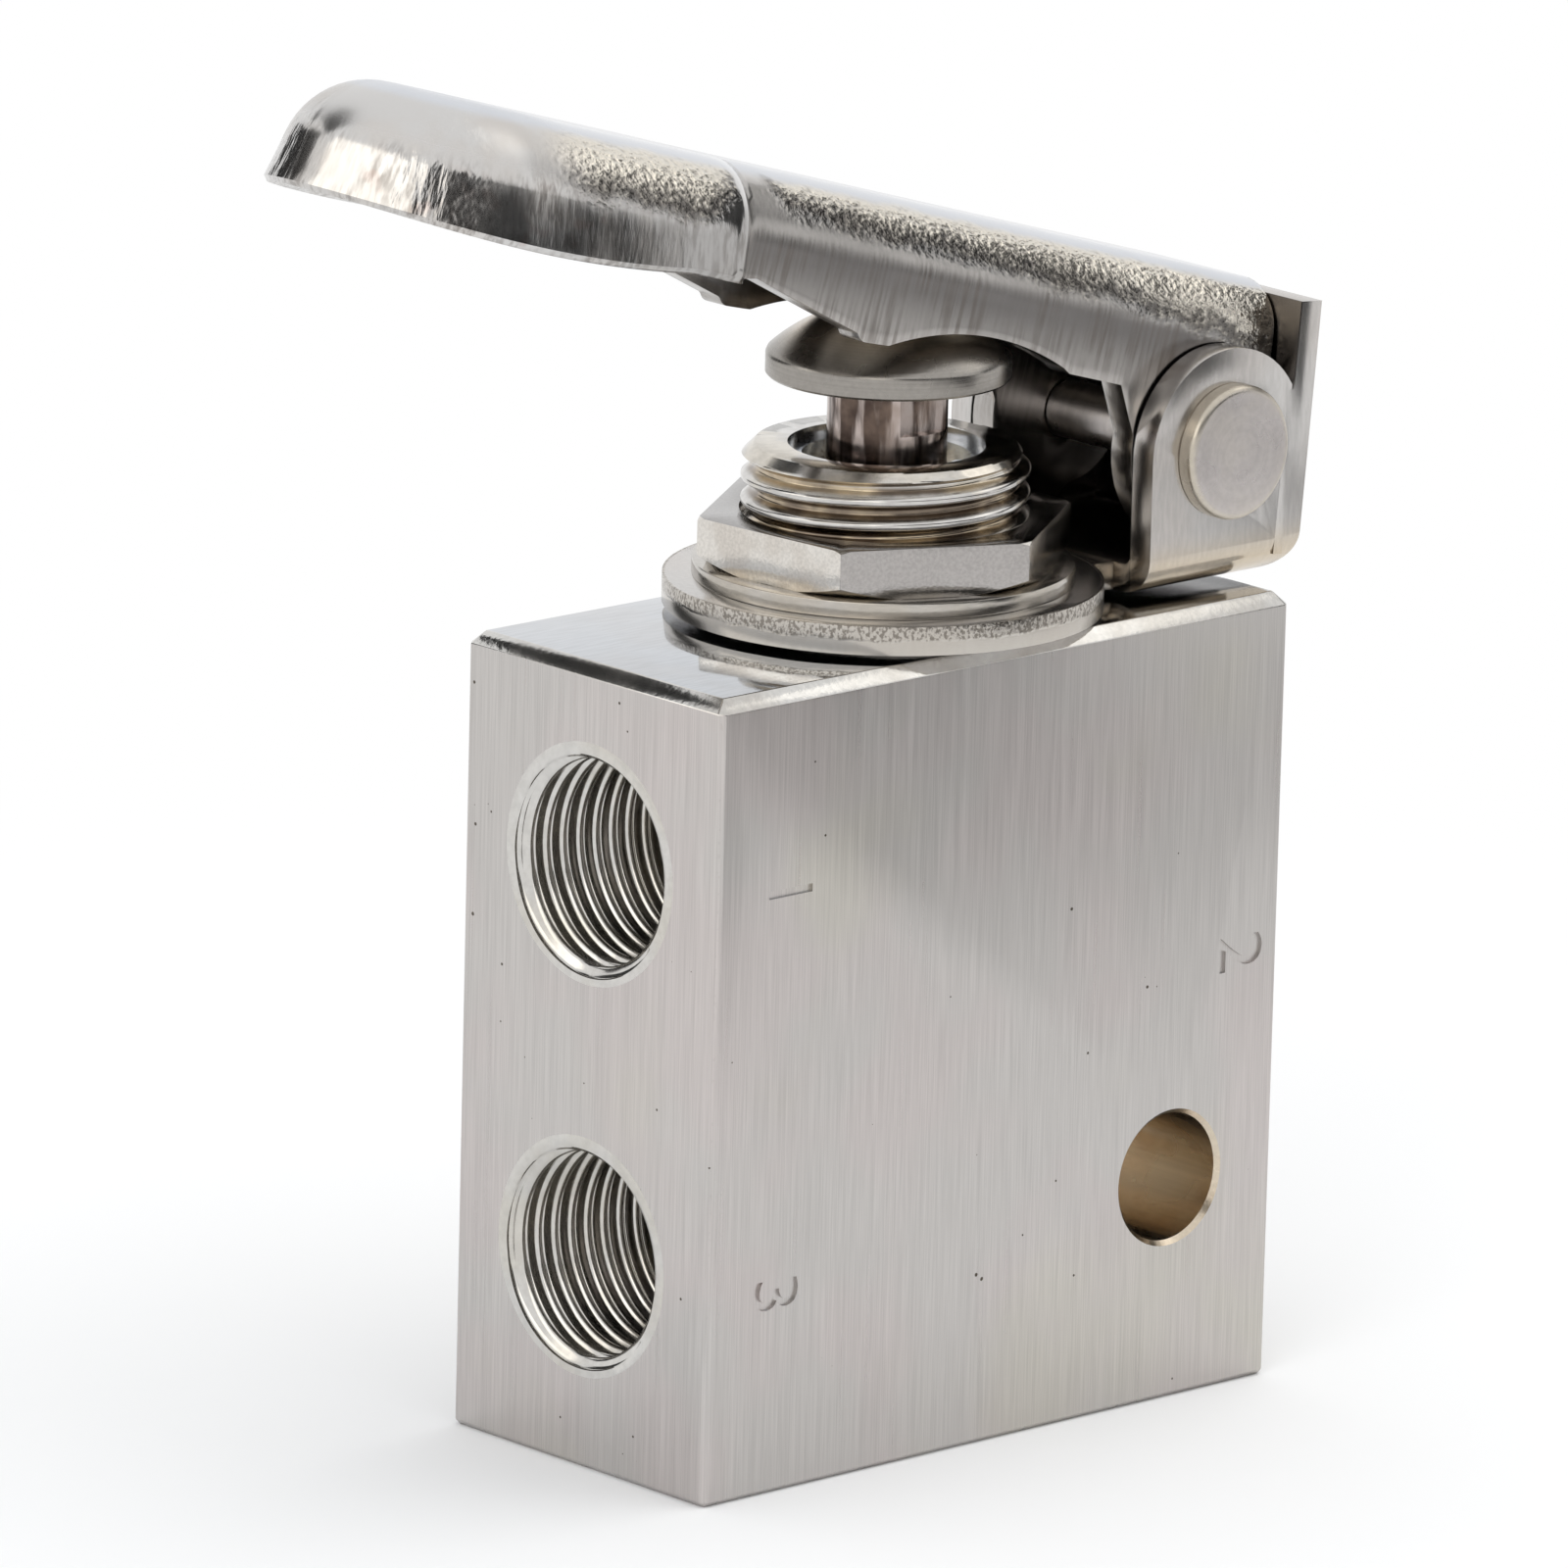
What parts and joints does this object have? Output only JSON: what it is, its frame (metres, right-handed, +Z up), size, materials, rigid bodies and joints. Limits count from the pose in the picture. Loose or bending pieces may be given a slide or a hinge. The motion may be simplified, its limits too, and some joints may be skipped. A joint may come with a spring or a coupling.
{
  "type": "manual air control valve",
  "caption": "Hand-lever spool valve: ported metal block, threaded neck with nut and pivot bracket, pressed-steel lever that pushes a sprung plunger.",
  "frame": {"origin": "centre of the body's bottom face, on the plunger axis", "axes": "+Z up the plunger axis, +X out of the outlet port and away from the lever's tip, +Y towards the back face, away from the mounting hole that the picture shows"},
  "size_m": [0.0508, 0.0182, 0.0596],
  "materials": {
    "plated_body": "satin nickel plate with fine upright brush lines",
    "plated_sheet": "bright nickel plate over pressed steel, pebbled on the bends",
    "plated_turned": "bright nickel plate over turned faces",
    "satin_pin": "satin, slightly mottled",
    "button_steel": "satin turned steel with a warm tint",
    "stem_steel": "ground steel with a brown tint",
    "spool_steel": "ground and polished",
    "ring_steel": "bright zinc plate",
    "spring_steel": "drawn wire",
    "bush_brass": "turned",
    "cage_plastic": "moulded acetal",
    "seal_rubber": "moulded nitrile"
  },
  "bodies": {
    "valve_body": {"body_block": "plated_body", "guide_bush": "bush_brass", "guide_o_ring": "seal_rubber", "stem_o_ring": "seal_rubber", "neck_circlip": "ring_steel", "seal_top": "seal_rubber", "supply_cage": "cage_plastic", "seal_supply": "seal_rubber", "outlet_cage": "cage_plastic", "seal_exhaust": "seal_rubber", "exhaust_cage": "cage_plastic", "return_spring": "spring_steel", "bottom_plug": "plated_turned", "plug_o_ring": "seal_rubber", "lever_bracket": "plated_sheet", "lock_washer": "plated_turned", "panel_nut": "plated_turned", "pivot_pin": "satin_pin", "pin_e_ring": "ring_steel"},
    "lever": {"hand_lever": "plated_sheet"},
    "plunger": {"push_button": "button_steel", "plunger_stem": "stem_steel", "valve_spool": "spool_steel"}
  },
  "joints": [
    {"name": "lever_hinge", "type": "hinge", "parent": "valve_body", "child": "lever", "pos_m": [0.0137, 0, 0.04005], "axis": [0, -1, 0], "range_deg": [0, 10.9], "stiffness_Nm_per_rad": 0.343, "springref_deg": -15.3},
    {"name": "plunger_slide", "type": "slide", "parent": "valve_body", "child": "plunger", "axis": [0, 0, -1], "range_m": [0, 0.0025], "deforming": ["return_spring"]}
  ],
  "couplings": [
    {"joint": "plunger_slide", "follows": "lever_hinge", "m_per_rad": 0.0131}
  ]
}
